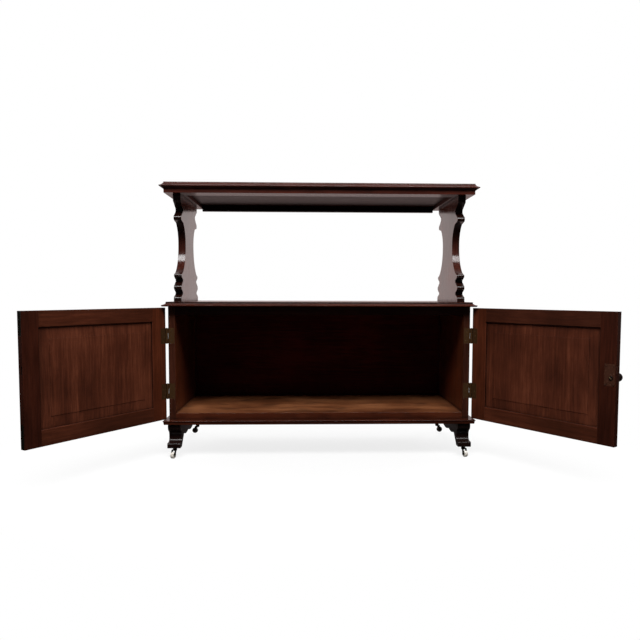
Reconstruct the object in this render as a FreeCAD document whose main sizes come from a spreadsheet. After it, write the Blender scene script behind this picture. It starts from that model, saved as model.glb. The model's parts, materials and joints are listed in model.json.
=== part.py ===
import FreeCAD, Part
import operator
import os
from types import SimpleNamespace

import Sketcher
from FreeCAD import Placement, Rotation, Vector

# Frame: millimetres, Z up from the floor, X across the width from its middle,
# Y from the plane of the case front (Y = 0) towards the back.

SIZES = [
    ("case_width", 1049, "over the two sides"),
    ("case_depth", 402, "case front to case back"),
    ("case_height", 394, "sides"),
    ("shelf_side_overhang", 18.5, "shelf nose outside the case sides"),
    ("shelf_thickness", 22, "upper shelf board"),
    ("shelf_fillet", 3, "upright fillet at the top of the shelf edge"),
    ("shelf_nose_low", 6.5, "underside of the shelf nose above the board's bottom"),
    ("shelf_nose_high", 9.5, "top of the shelf nose above the board's bottom"),
    ("shelf_under_inset", 10, "hollow under the shelf nose"),
    ("board_overhang", 33, "front overhang of the shelf and of the cupboard top"),
    ("board_edge_inset", 13, "top arris of the moulded boards behind the nose"),
    ("lining_width", 64, "rails under the shelf, front and sides"),
    ("lining_height", 14.5, "rails under the shelf"),
    ("lining_side_overhang", 5, "rails under the shelf outside the case sides"),
    ("lining_overhang", 21, "front rail under the shelf before the case front"),
    ("lining_rear_width", 17, "rear rail under the shelf"),
    ("lining_rear_drop", 9.5, "rear rail below the other rails"),
    ("support_height", 368, "shaped supports"),
    ("support_setback", 1, "shaped supports behind the case front"),
    ("support_rear_setback", 60, "shaped supports before the case back"),
    ("support_side_setback", 19.5, "shaped supports inside the case sides"),
    ("support_thickness", 26, "shaped supports"),
    ("support_scoop", 93, "depth of the long hollow"),
    ("support_neck", 52, "depth of the hollow under the top"),
    ("support_notch", 36, "depth of the notches between the lower lobes"),
    ("support_beak", 17, "setback of the upper beak"),
    ("support_lip", 10, "setback of the top and of the lobes at the foot"),
    ("top_side_overhang", 16.5, "nose of the cupboard top outside the case sides"),
    ("top_thickness", 16, "cupboard top"),
    ("top_fillet", 5, "upright fillet at the top of the cupboard top's edge"),
    ("top_nose_low", 2, "underside of the top's nose above its bottom"),
    ("top_nose_high", 5, "top of the nose above the bottom"),
    ("top_under_inset", 2, "rounding under the top's nose"),
    ("side_thickness", 23, "sides"),
    ("floor_thickness", 22, "cupboard floor"),
    ("back_thickness", 10, "back panel"),
    ("back_rebate", 10, "width of the rebate that holds the back"),
    ("back_inset", 2, "back panel in front of the rear edges"),
    ("top_rail_height", 30, "rail under the cupboard top"),
    ("top_rail_thickness", 22, "rail under the cupboard top"),
    ("base_side_overhang", 18, "base moulding outside the case sides"),
    ("base_height", 14, "base moulding"),
    ("base_overhang", 28, "base moulding before the case front"),
    ("base_frame", 70, "width of the base frame pieces"),
    ("base_bead", 4, "bead along the top of the base moulding"),
    ("base_inset", 3.5, "base moulding below the bead"),
    ("foot_height", 81.5, "shaped feet"),
    ("foot_thickness", 44, "shaped feet"),
    ("foot_side_overhang", 2.5, "feet outside the case sides"),
    ("foot_overhang", 30, "toe before the case front"),
    ("foot_leg", 74, "leg of a foot, toe to wing"),
    ("foot_hollow", 34, "hollow of the leg behind the toe"),
    ("rear_wing", 73, "wing of a rear foot"),
    ("wing_gap", 23, "between the wings of front and rear feet"),
    ("door_thickness", 18, "doors"),
    ("door_back_gap", 1, "closed door to case front"),
    ("door_meeting_gap", 2, "between the closed doors"),
    ("door_bottom_gap", 2.1, "door above the base moulding"),
    ("door_top_gap", 4.2, "door below the cupboard top"),
    ("door_angle", 124.4, "doors stand open by this turn"),
    ("hinge_stile", 58, "width of the stile at the hinges"),
    ("meeting_stile", 52, "width of the stile at the meeting edge"),
    ("door_rail", 48, "height of the door rails"),
    ("panel_recess", 6, "door frame face to panel border"),
    ("panel_groove", 8, "depth of the groove for the panel"),
    ("panel_slack", 0.5, "panel and tongues short of the groove's bottom"),
    ("panel_border", 34, "sloping border of the panel"),
    ("panel_raise", 2, "rise of the panel border towards the field"),
    ("panel_step", 0.8, "field above the border"),
    ("frame_chamfer", 2, "inner edges of the door frames"),
    ("bead_width", 9, "bead frame on the door front"),
    ("bead_height", 5, "bead frame on the door front"),
    ("bead_slope", 4, "chamfer of the bead frame"),
    ("hinge_length", 53, "hinges"),
    ("hinge_inset", 97.45, "middle of a hinge from the door's end"),
    ("hinge_offset", 5.1, "hinge axis outside the case side"),
    ("knuckle_radius", 4.5, "hinge knuckles"),
    ("knuckle_gap", 0.3, "between neighbouring knuckles"),
    ("pin_radius", 2, "hinge pins"),
    ("leaf_width", 21, "hinge leaf on the wood"),
    ("leaf_thickness", 1.5, "hinge leaf"),
    ("screw_head_radius", 2.6, "hinge screws"),
    ("screw_head_height", 0.8, "hinge screws"),
    ("screw_radius", 1.5, "hinge screws"),
    ("screw_length", 13, "hinge screws"),
    ("screw_pitch", 17, "between hinge screws"),
    ("fit", 0.1, "clearance round pieces let into others"),
    ("run", 0.06, "radial play of turning and sliding fits"),
    ("lock_width", 32, "lock case across the stile"),
    ("lock_height", 63, "lock case"),
    ("lock_depth", 11, "lock case into the stile"),
    ("lock_lift", 12, "middle of the lock case above the door's middle"),
    ("lock_inset", 3, "lock case from the meeting edge"),
    ("bolt_height", 22, "lock bolt"),
    ("bolt_thickness", 5, "lock bolt"),
    ("bolt_length", 26, "lock bolt"),
    ("bolt_throw", 8, "travel of the lock bolt"),
    ("bolt_setback", 0.2, "drawn bolt behind the meeting edge"),
    ("bolt_margin", 4, "bolt below the top of the lock case"),
    ("knob_drop", 8.5, "knob below the middle of the lock case"),
    ("knob_inset", 15, "knob from the meeting edge"),
    ("knob_radius", 13, "knob"),
    ("knob_length", 30, "knob before the door front"),
    ("knob_neck", 5.5, "radius of the knob's neck"),
    ("knob_gap", 0.4, "knob to rose, nut to lock case"),
    ("spindle_radius", 3, "spindle of the knob"),
    ("nut_radius", 5.5, "nut of the spindle on the lock case"),
    ("nut_thickness", 1.5, "nut of the spindle"),
    ("rose_radius", 11, "plate under the knob"),
    ("rose_thickness", 1.5, "plate under the knob"),
    ("flush_plate_width", 12, "flush-bolt plates"),
    ("flush_plate_length", 70, "flush-bolt plates"),
    ("flush_plate_thickness", 1.5, "flush-bolt plates"),
    ("flush_radius", 3, "flush bolts"),
    ("flush_length", 60, "flush bolts"),
    ("flush_depth", 7, "flush bolts behind the meeting edge"),
    ("flush_reach", 7, "flush bolts into their sockets"),
    ("flush_setback", 0.5, "drawn flush bolts inside the door"),
    ("thumb_start", 40, "thumb piece from the door's end"),
    ("thumb_width", 4, "thumb piece of a flush bolt"),
    ("thumb_height", 12, "thumb piece of a flush bolt"),
    ("socket_play", 1, "radial play of the sockets for the bolts"),
    ("caster_height", 37, "casters"),
    ("caster_inset", 21, "caster pivots behind the toes"),
    ("caster_side_inset", 22, "front caster pivots inside the outer faces of the feet"),
    ("rear_caster_side_inset", 33.5, "rear caster pivots inside the outer faces of the feet"),
    ("front_left_turn", 25, "trail of the front left caster, turned from the front"),
    ("front_right_turn", 25, "trail of the front right caster, turned from the front"),
    ("rear_left_turn", 100, "trail of the rear left caster, turned from the front"),
    ("rear_right_turn", 100, "trail of the rear right caster, turned from the front"),
    ("caster_trail", 11, "roller behind the pivot"),
    ("roller_radius", 11, "rollers"),
    ("roller_width", 11, "rollers"),
    ("roller_round", 2.5, "rounded edges of the rollers"),
    ("axle_radius", 2, "roller axles"),
    ("arm_thickness", 1.8, "arms of the caster horns"),
    ("arm_radius", 3.6, "ends of the arms round the axle"),
    ("arm_gap", 0.5, "roller to arm"),
    ("roller_clear", 4.4, "roller to the bridge above it"),
    ("horn_radius", 7, "hub of the caster horns"),
    ("horn_bridge", 3, "bridge of the caster horns"),
    ("bridge_length", 7, "bridge of the caster horns"),
    ("horn_gap", 0.4, "hub to caster plate"),
    ("plate_radius", 10, "caster plates"),
    ("plate_thickness", 2.5, "caster plates"),
    ("pivot_radius", 3, "caster pivots"),
    ("pivot_head_radius", 4.5, "riveted head of the pivots"),
    ("pivot_head_height", 1.6, "riveted head of the pivots"),
    ("stem_radius", 4, "caster stems in the feet"),
    ("stem_length", 14, "caster stems in the feet"),
]

OPERATIONS = {"+": operator.add, "-": operator.sub, "*": operator.mul, "/": operator.truediv}
PLANES = {"X": "YZ_Plane", "Y": "XZ_Plane", "Z": "XY_Plane"}
SIDES = (("left", -1), ("right", 1))
ROUND = 0.707


class Size:
    """A size in millimetres together with the sheet expression that gives it."""

    def __init__(self, value, text):
        self.value = value
        self.text = text

    def __add__(self, other):
        return joined(self, "+", other)

    def __radd__(self, other):
        return joined(other, "+", self)

    def __sub__(self, other):
        return joined(self, "-", other)

    def __rsub__(self, other):
        return joined(other, "-", self)

    def __mul__(self, other):
        return joined(self, "*", other)

    def __rmul__(self, other):
        return joined(other, "*", self)

    def __truediv__(self, other):
        return joined(self, "/", other)

    def __neg__(self):
        return Size(-self.value, f"-({self.text})")


def size(number):
    """A plain number as a Size; a Size stays as it is."""
    if isinstance(number, Size):
        return number
    text = f"{abs(number):g}"
    return Size(number, text if number >= 0 else f"(-{text})")


def joined(first, sign, second):
    first = size(first)
    second = size(second)
    value = OPERATIONS[sign](first.value, second.value)
    return Size(value, f"({first.text} {sign} {second.text})")


doc = FreeCAD.newDocument("chiffonier")
sheet = doc.addObject("Spreadsheet::Sheet", "Sizes")
for row, (alias, number, note) in enumerate(SIZES, start=1):
    sheet.set(f"A{row}", alias)
    sheet.set(f"B{row}", str(number))
    sheet.set(f"C{row}", note)
    sheet.setAlias(f"B{row}", alias)
d = SimpleNamespace(**{alias: Size(number, f"Sizes.{alias}") for alias, number, _ in SIZES})

pieces = []
cuts = []


def piece(label):
    """A new sub-part; it may hold several like solids."""
    body = doc.addObject("PartDesign::Body", label)
    body.Label = label
    body.AllowCompound = True
    pieces.append(body)
    return body


def draw_circle(sketch, u, v, radius):
    centre = Vector(u.value, v.value, 0)
    index = sketch.addGeometry(Part.Circle(centre, Vector(0, 0, 1), radius.value))
    for kind, amount in (("DistanceX", u), ("DistanceY", v)):
        number = sketch.addConstraint(Sketcher.Constraint(kind, index, 3, amount.value))
        sketch.setExpression(f"Constraints[{number}]", amount.text)
    number = sketch.addConstraint(Sketcher.Constraint("Radius", index, radius.value))
    sketch.setExpression(f"Constraints[{number}]", radius.text)


def draw_outline(sketch, steps):
    """Closed outline; a step is a corner, or a point on an arc followed by the arc's end."""
    steps = [tuple(size(number) for number in step) for step in steps]
    corners = [step[-2:] for step in steps]
    first = len(sketch.Geometry)
    geometry = []
    starts = []
    ends = []
    vias = []
    for number, step in enumerate(steps):
        start = Vector(corners[number - 1][0].value, corners[number - 1][1].value, 0)
        end = Vector(step[-2].value, step[-1].value, 0)
        if len(step) == 2:
            geometry.append(Part.LineSegment(start, end))
            starts.append(1)
            ends.append(2)
            continue
        via = Vector(step[0].value, step[1].value, 0)
        turns_left = (via - start).cross(end - via).z > 0
        geometry.append(Part.Arc(start, via, end) if turns_left else Part.Arc(end, via, start))
        starts.append(1 if turns_left else 2)
        ends.append(2 if turns_left else 1)
        vias.append((first + number, step[0], step[1]))
    sketch.addGeometry(geometry)
    rules = []
    amounts = []

    def fix(index, position, point):
        for kind, amount in zip(("DistanceX", "DistanceY"), point):
            rules.append(Sketcher.Constraint(kind, index, position, amount.value))
            amounts.append((len(rules) - 1, amount))

    for number in range(len(steps)):
        following = (number + 1) % len(steps)
        rules.append(Sketcher.Constraint("Coincident", first + number, ends[number],
                                         first + following, starts[following]))
        fix(first + number, ends[number], corners[number])
    for index, u, v in vias:
        point = sketch.addGeometry(Part.Point(Vector(u.value, v.value, 0)), True)
        rules.append(Sketcher.Constraint("PointOnObject", point, 1, index))
        fix(point, 1, (u, v))
    offset = sketch.ConstraintCount
    sketch.addConstraint(rules)
    for number, amount in amounts:
        sketch.setExpression(f"Constraints[{offset + number}]", amount.text)


def draw(body, axis, level, loops, shift=(0, 0)):
    """A sketch across the axis; a loop is a list of steps, or a circle as a tuple."""
    sketch = doc.addObject("Sketcher::SketchObject", body.Name + "_sketch")
    body.addObject(sketch)
    plane = next(item for item in body.Origin.OriginFeatures if item.Role == PLANES[axis])
    sketch.AttachmentSupport = [(plane, "")]
    sketch.MapMode = "FlatFace"
    base = [size(number) for number in (*shift, level)]
    sketch.AttachmentOffset = Placement(Vector(*[number.value for number in base]), Rotation())
    for letter, number in zip("xyz", base):
        sketch.setExpression(f"AttachmentOffset.Base.{letter}", number.text)
    for loop in loops:
        if isinstance(loop, tuple):
            draw_circle(sketch, *[size(number) for number in loop])
        else:
            draw_outline(sketch, loop)
    return sketch


def add_feature(body, kind, sketch, length):
    feature = doc.addObject("PartDesign::" + kind, f"{body.Name}_{kind.lower()}")
    body.addObject(feature)
    feature.Profile = sketch
    if length is not None:
        feature.Length = length.value
        feature.setExpression("Length", length.text)
    return feature


def pad(body, axis, loops, low, high):
    """Material along the axis from low to high."""
    low = size(low)
    high = size(high)
    sketch = draw(body, axis, -high if axis == "Y" else low, loops)
    return add_feature(body, "Pad", sketch, high - low)


def cut(body, axis, loops, low, high):
    """A cut along the axis from low to high."""
    low = size(low)
    high = size(high)
    sketch = draw(body, axis, -low if axis == "Y" else high, loops)
    feature = add_feature(body, "Pocket", sketch, high - low)
    cuts.append(feature)
    return feature


def turn(body, axis, outline, line, level, shift):
    """A turned solid: the outline swept round the sketch's own upright or level axis."""
    sketch = draw(body, axis, level, [outline], shift)
    feature = add_feature(body, "Revolution", sketch, None)
    feature.ReferenceAxis = (sketch, [line])
    feature.Angle = 360
    return feature


def rectangle(u_low, u_high, v_low, v_high):
    return [(u_low, v_low), (u_high, v_low), (u_high, v_high), (u_low, v_high)]


def board(label, x, y, z):
    body = piece(label)
    pad(body, "Z", [rectangle(*x, *y)], *z)
    return body


def crossed(label, first, second, socket=None):
    """The solid common to two mouldings run along different axes, so that their edges mitre."""
    runs = []
    for name, (axis, outline, low, high) in (("first", first), ("second", second)):
        run = doc.addObject("PartDesign::Body", f"{label}_{name}_run")
        pad(run, axis, [outline], low, high)
        runs.append(run)
    if socket:
        cut(runs[0], "Z", *socket)
    common = doc.addObject("Part::Common", label)
    common.Label = label
    common.Base = runs[0]
    common.Tool = runs[1]
    pieces.append(common)
    return common


def span(side, near, far):
    """Range between two distances from the middle, on the left (-1) or right (1) side."""
    return (near, far) if side > 0 else (-far, -near)


def place(item, x, y, side, angle):
    """Sets a piece on an upright pivot, turned outwards about it."""
    item.Placement = Placement(Vector(x.value, y.value, 0), Rotation(Vector(0, 0, side), angle.value))
    item.setExpression("Placement.Base.x", x.text)
    item.setExpression("Placement.Base.y", y.text)
    item.setExpression("Placement.Rotation.Angle", angle.text)


# Levels above the floor.
foot_low = d.caster_height
base_low = foot_low + d.foot_height
case_low = base_low + d.base_height
case_high = case_low + d.case_height
top_high = case_high + d.top_thickness
lining_low = top_high + d.support_height
shelf_low = lining_low + d.lining_height
shelf_high = shelf_low + d.shelf_thickness
door_low = case_low + d.door_bottom_gap
door_high = case_high - d.door_top_gap

# Distances from the middle.
case_half = d.case_width / 2
inner_half = case_half - d.side_thickness
hinge_x = case_half + d.hinge_offset
hinge_y = -d.door_back_gap / 2
hinge_middles = (door_low + d.hinge_inset, door_high - d.hinge_inset)

# Doors, closed and seen from their hinge axis: distances run from the axis to the meeting edge.
stile_near = d.hinge_offset
stile_far = d.hinge_offset + case_half - d.door_meeting_gap / 2
door_back = -d.door_back_gap / 2
door_front = door_back - d.door_thickness
door_middle = door_back - d.door_thickness / 2

# Sockets that take the flush bolts of the closed left door.
flush_along = stile_far - d.flush_depth
socket_circle = (flush_along - hinge_x, hinge_y + door_middle, d.flush_radius + d.socket_play)
socket_depth = d.flush_reach + 1


def lay(steps, start, sign):
    """Turns insets behind a nose into positions, on the low (1) or high (-1) end."""
    laid = []
    for step in steps:
        numbers = list(step)
        for index in range(0, len(numbers), 2):
            numbers[index] = start + sign * size(numbers[index])
        laid.append(tuple(numbers))
    return laid


def run_back(steps):
    """The same line of steps from its last corner to its first."""
    corners = [step[-2:] for step in steps]
    vias = [step[:-2] for step in steps]
    back = [corners[-1]]
    for number in range(len(steps) - 1, 0, -1):
        back.append(vias[number] + corners[number - 1])
    return back


def moulded_board(label, edge, side_overhang, low, high, socket=None):
    """A board moulded on its front and both ends, square at the back."""
    front = -d.board_overhang
    half = case_half + side_overhang
    side_outline = lay(edge, front, 1) + [(d.case_depth, high), (d.case_depth, low)]
    end_outline = lay(edge, -half, 1) + run_back(lay(edge, half, -1))
    crossed(label, ("X", side_outline, -half, half), ("Y", end_outline, front, d.case_depth), socket)


def hollow_edge(low, high, fillet, nose_low, nose_high, under):
    """Edge from the underside up: a hollow below the nose, a wide hollow above it, a fillet."""
    inset = d.board_edge_inset
    rise = high - fillet - nose_high
    return [
        (under, low),
        (under * ROUND, low + (nose_low - low) * ROUND, 0, nose_low),
        (0, nose_high),
        (inset * 0.6, nose_high + rise * 0.4, inset, high - fillet),
        (inset, high),
    ]


shelf_edge = hollow_edge(shelf_low, shelf_high, d.shelf_fillet, shelf_low + d.shelf_nose_low,
                         shelf_low + d.shelf_nose_high, d.shelf_under_inset)
moulded_board("shelf_board", shelf_edge, d.shelf_side_overhang, shelf_low, shelf_high)
top_edge = hollow_edge(case_high, top_high, d.top_fillet, case_high + d.top_nose_low,
                       case_high + d.top_nose_high, d.top_under_inset)
moulded_board("cupboard_top", top_edge, d.top_side_overhang, case_high, top_high,
              ([socket_circle], case_high, case_high + socket_depth))

# Rails lining the underside of the shelf.
lining_half = case_half + d.lining_side_overhang
lining_back = d.lining_width - d.lining_overhang
lining_z = (lining_low, shelf_low)
board("shelf_front_rail", (-lining_half, lining_half), (-d.lining_overhang, lining_back), lining_z)
for name, side in SIDES:
    board(f"shelf_{name}_rail", span(side, lining_half - d.lining_width, lining_half),
          (lining_back, d.case_depth), lining_z)
board("shelf_rear_rail", (d.lining_width - lining_half, lining_half - d.lining_width),
      (d.case_depth - d.lining_rear_width, d.case_depth), (lining_low - d.lining_rear_drop, shelf_low))


def support_outline():
    """Scrolled outline: lobes at the foot, a long hollow, a beak and a hollow neck."""
    def at(recess, share):
        return (d.support_setback + recess, top_high + d.support_height * share)

    scoop = d.support_scoop
    notch = d.support_notch
    beak = d.support_beak
    neck = d.support_neck
    lip = d.support_lip
    front = [
        at(lip * 0.5, 0),
        at(lip * 0.5, 0.034),
        at(lip * 0.7, 0.044) + at(lip * 1.2, 0.050),
        at(notch * 0.78, 0.067),
        at(notch * 0.96, 0.082) + at(notch * 0.78, 0.096),
        at(lip * 1.5, 0.114),
        at(lip * 0.8, 0.135) + at(lip * 1.7, 0.157),
        at(notch * 0.83, 0.182),
        at(notch * 1.07, 0.199) + at(notch * 0.83, 0.215),
        at(lip * 1.7, 0.233),
        at(lip * 1.2, 0.246) + at(lip * 2, 0.259),
        at(scoop * 0.43, 0.281),
        at(scoop * 0.79, 0.369) + at(scoop, 0.548),
        at(scoop * 0.92, 0.656) + at(scoop * 0.61, 0.747),
        at(beak * 1.5, 0.763),
        at(beak, 0.786) + at(beak * 1.5, 0.810),
        at(neck * 0.92, 0.846),
        at(neck, 0.860) + at(neck * 0.88, 0.889),
        at(lip, 0.940),
        at(lip, 1),
    ]
    return front + run_back(lay(front, d.case_depth + d.support_setback - d.support_rear_setback, -1))


for name, side in SIDES:
    support = piece(f"{name}_support")
    far = case_half - d.support_side_setback
    pad(support, "X", [support_outline()], *span(side, far - d.support_thickness, far))

# Case: sides rebated for the back, floor, rail under the top, back panel.
back_front = d.case_depth - d.back_inset - d.back_thickness
leaf_near = case_half - d.leaf_width
for name, side in SIDES:
    case_side = board(f"{name}_side", span(side, inner_half, case_half), (0, d.case_depth),
                      (case_low, case_high))
    rebate = rectangle(*span(side, inner_half - 1, inner_half + d.back_rebate),
                       back_front, d.case_depth + 1)
    cut(case_side, "Z", [rebate], case_low, case_high)
    gains = []
    holes = []
    for middle in hinge_middles:
        low = middle - d.hinge_length / 2 - d.fit
        high = middle + d.hinge_length / 2 + d.fit
        gains.append(rectangle(*span(side, leaf_near - d.fit, case_half + 1), low, high))
        for step in (-1, 0, 1):
            holes.append((side * (case_half - d.leaf_width / 2), middle + step * d.screw_pitch,
                          d.screw_radius + d.run))
    cut(case_side, "Y", gains, 0, d.leaf_thickness + d.fit)
    cut(case_side, "Y", holes, 0, d.screw_length + 1)

board("cupboard_floor", (-inner_half, inner_half), (0, back_front),
      (case_low, case_low + d.floor_thickness))
board("top_front_rail", (-inner_half, inner_half), (0, d.top_rail_thickness),
      (case_high - d.top_rail_height, case_high))
back_half = inner_half + d.back_rebate - d.fit
board("back_panel", (-back_half, back_half), (back_front, back_front + d.back_thickness),
      (case_low, case_high))

# Base frame with a bead along its upper edge.
base_half = case_half + d.base_side_overhang
bead_middle = case_low - d.base_bead / 2
base_edge = [
    (d.base_inset, base_low),
    (d.base_bead / 2, case_low - d.base_bead),
    (0, bead_middle, d.base_bead / 2, case_low),
]
base_back = d.base_frame - d.base_overhang
base_front_outline = lay(base_edge, -d.base_overhang, 1) + [(base_back, case_low), (base_back, base_low)]
base_end_outline = lay(base_edge, -base_half, 1) + run_back(lay(base_edge, base_half, -1))
crossed("base_front_moulding", ("X", base_front_outline, -base_half, base_half),
        ("Y", base_end_outline, -d.base_overhang, base_back),
        ([socket_circle], case_low - socket_depth, case_low))
for name, side in SIDES:
    moulding = piece(f"base_{name}_moulding")
    base_near = side * (base_half - d.base_frame)
    outline = lay(base_edge, side * base_half, -side) + [(base_near, case_low), (base_near, base_low)]
    pad(moulding, "Y", [outline], base_back, d.case_depth)
board("base_rear_rail", (d.base_frame - base_half, base_half - d.base_frame),
      (d.case_depth - d.base_frame, d.case_depth), (base_low, case_low))


# Lobes under a wing, from the leg on: a point on the arc and its end, as shares of the wing's length
# and of the foot's height.
FRONT_LOBES = [((0.245, 0.371), (0.42, 0.435)), ((0.70, 0.327), (0.98, 0.452))]
REAR_LOBES = [((0.63, 0.371), (1, 0.43))]


def foot_outline(wing, lobes):
    """Toe, hollow leg and a wing with rounded lobes; distances run back from the toe."""
    def at(reach, share):
        return (reach, foot_low + d.foot_height * share)

    leg = d.foot_leg
    hollow = d.foot_hollow
    steps = [
        at(leg * 0.2, 1),
        at(leg * 0.17, 0.869) + at(leg * 0.28, 0.714),
        at(hollow * 0.94, 0.585) + at(hollow, 0.42),
        at(hollow * 0.94, 0.30) + at(hollow * 0.72, 0.226),
        at(leg * 0.09, 0.226),
        at(leg * 0.02, 0.208) + at(0, 0.165),
        at(0, 0.0595),
        at(leg * 0.02, 0.0174) + at(leg * 0.068, 0),
        at(leg * 0.43, 0),
        at(leg, 0.465),
    ]
    for (via_reach, via_share), (end_reach, end_share) in lobes:
        steps.append(at(leg + wing * via_reach, via_share) + at(leg + wing * end_reach, end_share))
    return steps + [at(leg + wing, 0.60), at(leg + wing, 1)]


foot_far = case_half + d.foot_side_overhang
foot_x = (foot_far - d.foot_thickness, foot_far)
front_wing = d.case_depth + d.foot_overhang - 2 * d.foot_leg - d.rear_wing - d.wing_gap
front_pivot = (foot_far - d.caster_side_inset, d.caster_inset - d.foot_overhang)
rear_pivot = (foot_far - d.rear_caster_side_inset, d.case_depth - d.caster_inset)
for end, lobes, wing, toe, sign, (pivot_x, pivot_y) in (
    ("front", FRONT_LOBES, front_wing, -d.foot_overhang, 1, front_pivot),
    ("rear", REAR_LOBES, d.rear_wing, d.case_depth, -1, rear_pivot),
):
    for name, side in SIDES:
        foot = piece(f"{end}_{name}_foot")
        pad(foot, "X", [lay(foot_outline(wing, lobes), toe, sign)], *span(side, *foot_x))
        cut(foot, "Z", [(side * pivot_x, pivot_y, d.stem_radius + d.run)], foot_low,
            foot_low + d.stem_length + 1)

# Casters: plates with stems and pivots, horns with axles, rollers.
# Each caster has its pivot and the turn of its trail away from the front, clockwise (-1) or
# anticlockwise (1) seen from above.
CASTERS = [
    ("front_left", (-front_pivot[0], front_pivot[1]), -1, d.front_left_turn),
    ("front_right", front_pivot, 1, d.front_right_turn),
    ("rear_left", (-rear_pivot[0], rear_pivot[1]), -1, d.rear_left_turn),
    ("rear_right", rear_pivot, 1, d.rear_right_turn),
]
plates = piece("caster_plates")
plate_low = d.caster_height - d.plate_thickness
horn_high = plate_low - d.horn_gap
horn_low = 2 * d.roller_radius + d.roller_clear
head_high = horn_low - d.horn_gap
for radius, low, high in (
    (d.plate_radius, plate_low, d.caster_height),
    (d.stem_radius, d.caster_height, d.caster_height + d.stem_length),
    (d.pivot_radius, head_high - d.pivot_head_height, plate_low),
    (d.pivot_head_radius, head_high - d.pivot_head_height, head_high),
):
    pad(plates, "Z", [pivot + (radius,) for _, pivot, _, _ in CASTERS], low, high)

arm_near = d.roller_width / 2 + d.arm_gap
arm_far = arm_near + d.arm_thickness
bridge_high = horn_low + d.horn_bridge
arm_front = -d.horn_radius * 0.3
arm_back = arm_front - d.bridge_length
arm_outline = [
    (arm_front, bridge_high),
    (arm_back, bridge_high),
    (-d.caster_trail - d.arm_radius, d.roller_radius),
    (-d.caster_trail, d.roller_radius - d.arm_radius, d.arm_radius - d.caster_trail, d.roller_radius),
    (arm_front, horn_low),
]
half = d.roller_width / 2
rim = d.roller_radius - d.roller_round
corner = half - d.roller_round + d.roller_round * ROUND
corner_height = rim + d.roller_round * ROUND
roller_outline = [
    (half, d.axle_radius + d.run),
    (half, rim),
    (corner, corner_height, half - d.roller_round, d.roller_radius),
    (d.roller_round - half, d.roller_radius),
    (-corner, corner_height, -half, rim),
    (-half, d.axle_radius + d.run),
]
for name, pivot, sense, angle in CASTERS:
    horn = piece(f"{name}_caster_horn")
    pad(horn, "Z", [(0, 0, d.horn_radius)], horn_low, horn_high)
    pad(horn, "Z", [rectangle(-arm_far, arm_far, arm_back, arm_front)], horn_low, bridge_high)
    for low, high in ((-arm_far, -arm_near), (arm_near, arm_far)):
        pad(horn, "X", [arm_outline], low, high)
    cut(horn, "Z", [(0, 0, d.pivot_radius + d.run)], 0, d.caster_height)
    pad(horn, "X", [(-d.caster_trail, d.roller_radius, d.axle_radius)], -arm_far, arm_far)
    roller = piece(f"{name}_roller")
    turn(roller, "Y", roller_outline, "H_Axis", d.caster_trail, (0, d.roller_radius))
    for item in (horn, roller):
        place(item, *pivot, sense, angle)

# Hinges: leaves let into the case sides and the doors, knuckles on a common pin.
leaf_middle = d.leaf_width / 2
screw_spots = [middle + step * d.screw_pitch for middle in hinge_middles for step in (-1, 0, 1)]
hinge_ends = [(middle - d.hinge_length / 2, middle + d.hinge_length / 2) for middle in hinge_middles]
knuckle_share = d.hinge_length / 3
half_gap = d.knuckle_gap / 2


def inward(face, sign, depth):
    """Range along Y of something let in from a face, towards the back (1) or the front (-1)."""
    return (face, face + depth) if sign > 0 else (face - depth, face)


def bore_leaves(leaves, axis_x, axis_y, screw_x, face, sign):
    """Pin bores, and screw holes with recesses for the heads."""
    cut(leaves, "Z", [(axis_x, axis_y, d.pin_radius + d.run)], hinge_ends[0][0], hinge_ends[1][1])
    for radius, depth in ((d.screw_radius + d.run, d.leaf_thickness),
                          (d.screw_head_radius + d.fit, d.screw_head_height + d.fit)):
        holes = [(screw_x, spot, radius) for spot in screw_spots]
        cut(leaves, "Y", holes, *inward(face, sign, depth))


def drive_screws(screws, places, face, sign):
    """Screws with flat heads, driven in from the face."""
    for radius, depth in ((d.screw_head_radius, d.screw_head_height), (d.screw_radius, d.screw_length)):
        pad(screws, "Y", [(x, spot, radius) for x in places for spot in screw_spots],
            *inward(face, sign, depth))


for name, side in SIDES:
    leaves = piece(f"{name}_hinge_case_leaves")
    outlines = []
    knuckles = []
    for low, high in hinge_ends:
        first = low + knuckle_share - half_gap
        second = high - knuckle_share + half_gap
        outline = [(leaf_near, low), (hinge_x, low), (hinge_x, first), (case_half, first),
                   (case_half, second), (hinge_x, second), (hinge_x, high), (leaf_near, high)]
        outlines.append([(side * u, v) for u, v in outline])
        knuckles += [(low, first), (second, high)]
    pad(leaves, "Y", outlines, 0, d.leaf_thickness)
    for low, high in knuckles:
        pad(leaves, "Z", [(side * hinge_x, hinge_y, d.knuckle_radius)], low, high)
    bore_leaves(leaves, side * hinge_x, hinge_y, side * (case_half - leaf_middle), 0, 1)
    pins = piece(f"{name}_hinge_pins")
    for low, high in hinge_ends:
        pad(pins, "Z", [(side * hinge_x, hinge_y, d.pin_radius)], low - 1, high + 1)
drive_screws(piece("case_hinge_screws"), [leaf_middle - case_half, case_half - leaf_middle], 0, 1)

# Door frames: stiles, rails tongued into them, a fielded panel and a bead frame on the front.
inner_near = stile_near + d.hinge_stile
inner_far = stile_far - d.meeting_stile
inner_low = door_low + d.door_rail
inner_high = door_high - d.door_rail
groove_back = door_back - d.panel_recess
groove_front = door_front + d.panel_recess
border_back = groove_back + d.panel_raise
field_back = border_back + d.panel_step
tongue = d.panel_groove - d.panel_slack
door_y = (door_front, door_back)
door_z = (door_low, door_high)


def panel_section(near, far):
    """Tongues, sloping borders and raised field of a panel, as distance along and depth."""
    return [
        (near - tongue, groove_front),
        (far + tongue, groove_front),
        (far + tongue, groove_back),
        (far, groove_back),
        (far - d.panel_border, border_back),
        (far - d.panel_border, field_back),
        (near + d.panel_border, field_back),
        (near + d.panel_border, border_back),
        (near, groove_back),
        (near - tongue, groove_back),
    ]


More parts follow.
